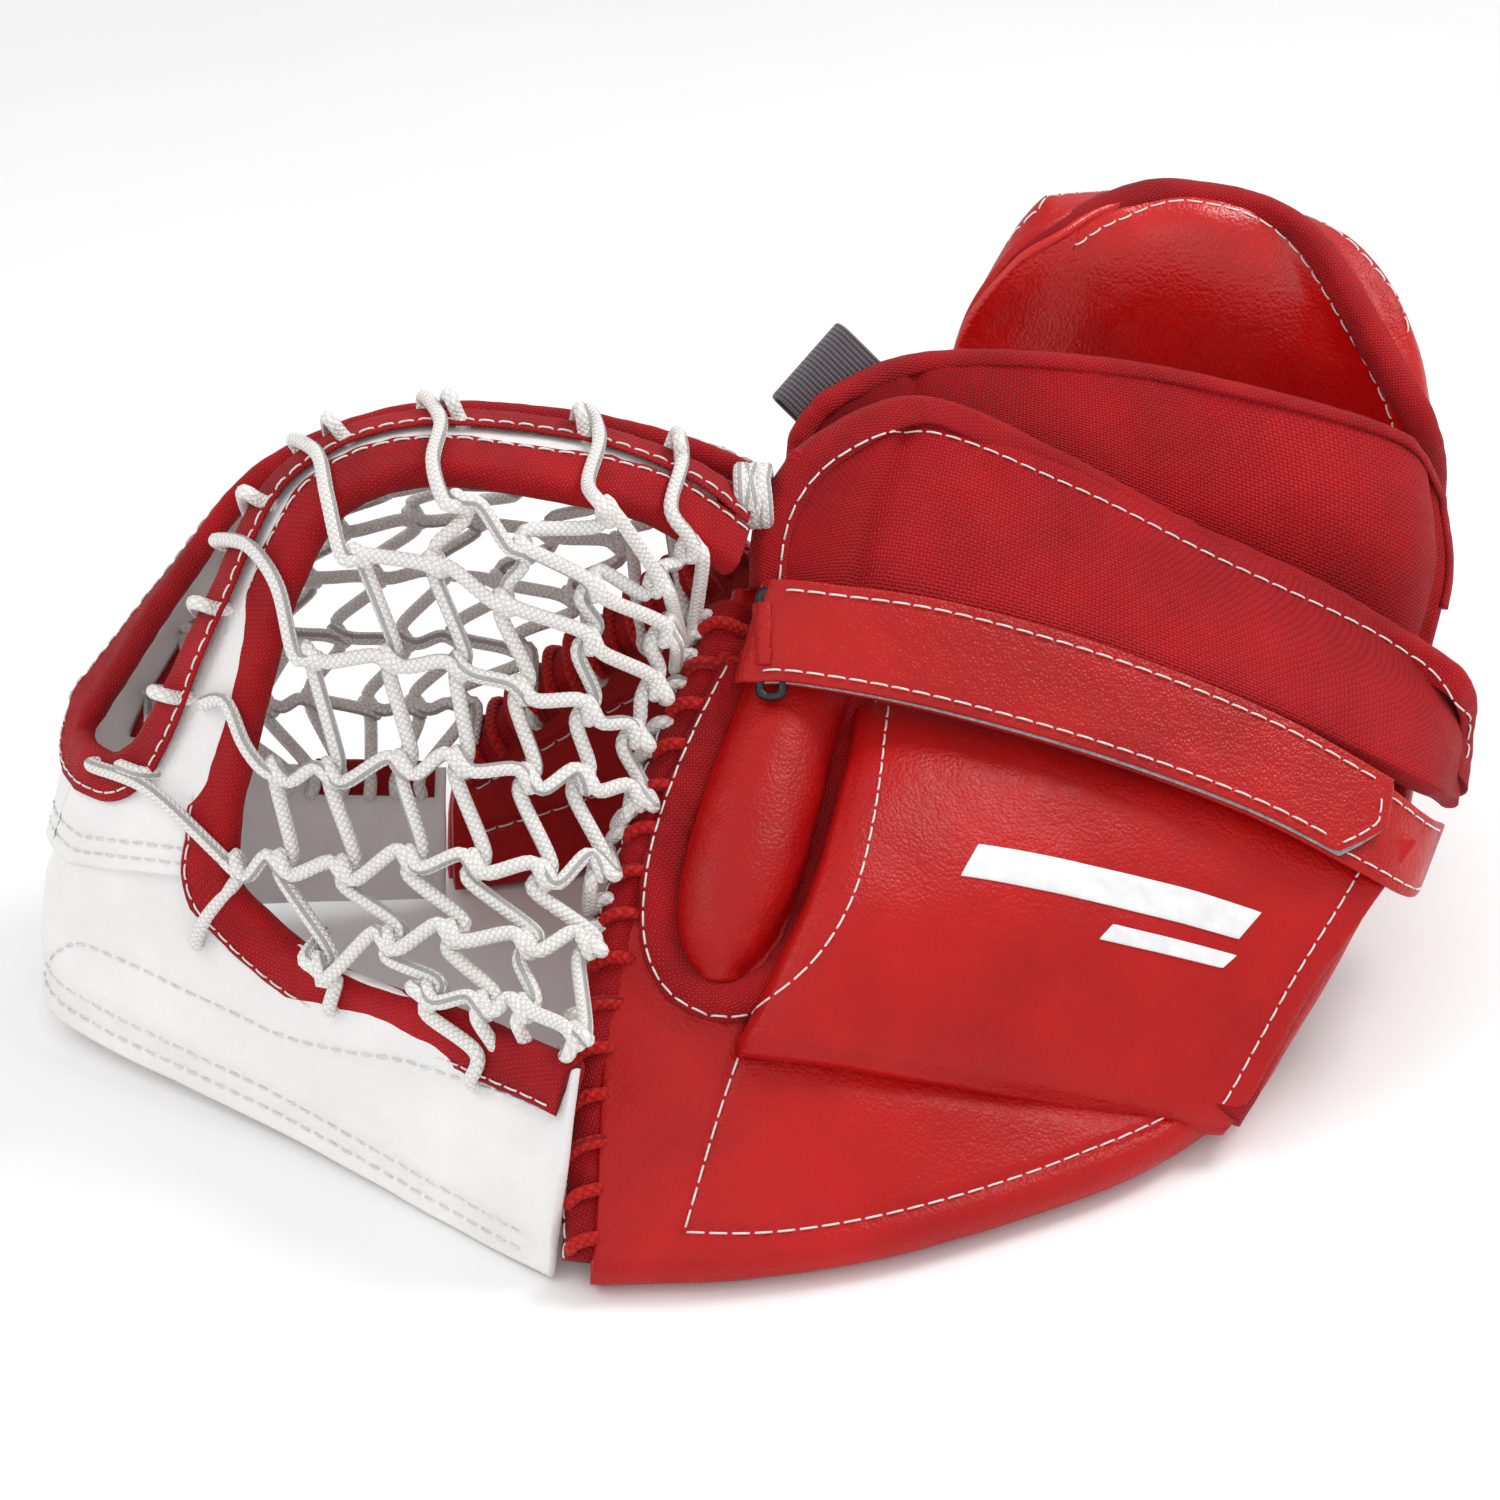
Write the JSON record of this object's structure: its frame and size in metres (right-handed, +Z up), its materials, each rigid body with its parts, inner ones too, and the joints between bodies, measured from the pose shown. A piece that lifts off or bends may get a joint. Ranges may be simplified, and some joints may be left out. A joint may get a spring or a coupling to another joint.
{
  "type": "ice hockey goalkeeper catch glove",
  "caption": "Red and white ice hockey goalkeeper's catch glove lying palm down, with a laced net pocket, padded fingers, wrist pads, a strap and a cuff.",
  "frame": {"origin": "on the floor under the middle of the glove's box, with the glove lying palm down", "axes": "+X from the tip of the pocket towards the outer edge of the hand, +Y from the fingertips towards the cuff, +Z up"},
  "size_m": [0.466, 0.3302, 0.2196],
  "materials": {
    "red_leather": "smooth satin leather",
    "red_strap_leather": "grained leather",
    "red_nylon": "woven nylon",
    "red_binding": "woven binding tape with white stitching",
    "white_leather": "smooth satin leather",
    "white_cord": "braided cord",
    "red_lace": "braided lace",
    "stiffener": "moulded sheet",
    "liner": "brushed lining",
    "badge_print": "raised transfer",
    "black_plastic": "moulded",
    "hook_and_loop": "hook and loop",
    "grey_elastic": "ribbed elastic webbing"
  },
  "bodies": {
    "hand_and_pocket": {"finger_shell": "red_leather", "finger_board": "stiffener", "finger_palm": "red_leather", "finger_stalls": "liner", "finger_edge_binding": "red_binding", "finger_lacing": "red_lace", "backhand_pad": "red_leather", "backhand_binding": "red_binding", "index_roll": "red_leather", "index_window_binding": "red_binding", "badge": "badge_print", "wrist_flap": "red_nylon", "wrist_flap_binding": "red_binding", "wrist_pad": "red_nylon", "wrist_pad_binding": "red_binding", "strap_lower": "red_strap_leather", "loop_patch": "hook_and_loop", "strap_ring": "black_plastic", "strap_ring_tab": "red_strap_leather", "elastic_strap": "grey_elastic", "heel_shell": "red_leather", "heel_board": "stiffener", "heel_palm": "red_leather", "near_arm": "white_leather", "near_arm_binding": "red_binding", "near_net": "white_cord", "crossbar_tip": "white_leather", "tee_base": "white_leather", "near_stem": "white_leather", "near_stem_bindings": "red_binding", "far_stem": "white_leather", "far_stem_bindings": "red_binding", "slot_lacing": "white_cord", "far_net": "white_cord"},
    "thumb_side": {"thumb_palm": "red_leather", "thumb_board": "stiffener", "thumb_shell": "red_leather", "thumb_stall": "liner", "thumb_edge_binding": "red_binding", "thumb_lacing": "red_lace", "far_arm": "white_leather", "far_arm_binding": "red_binding"},
    "strap_free_layer": {"wrist_strap": "red_strap_leather", "hook_patch": "hook_and_loop"},
    "cuff": {"cuff_lining": "red_leather", "cuff_board": "stiffener", "cuff_shell": "red_leather", "cuff_binding": "red_binding", "cuff_lacing": "red_lace"}
  },
  "joints": [
    {"name": "thumb_fold", "type": "hinge", "parent": "hand_and_pocket", "child": "thumb_side", "pos_m": [-0.199, 0.0169, 0.04], "axis": [0.9595, 0.2377, 0.1513], "range_deg": [-6, 12]},
    {"name": "strap_peel", "type": "hinge", "parent": "hand_and_pocket", "child": "strap_free_layer", "pos_m": [-0.004, -0.0331, 0.141], "axis": [-0.2598, -0.6496, -0.7145], "range_deg": [0, 70]},
    {"name": "cuff_flex", "type": "hinge", "parent": "hand_and_pocket", "child": "cuff", "pos_m": [0.143, 0.1149, 0.104], "axis": [1, 0, 0], "range_deg": [-12, 8]}
  ]
}
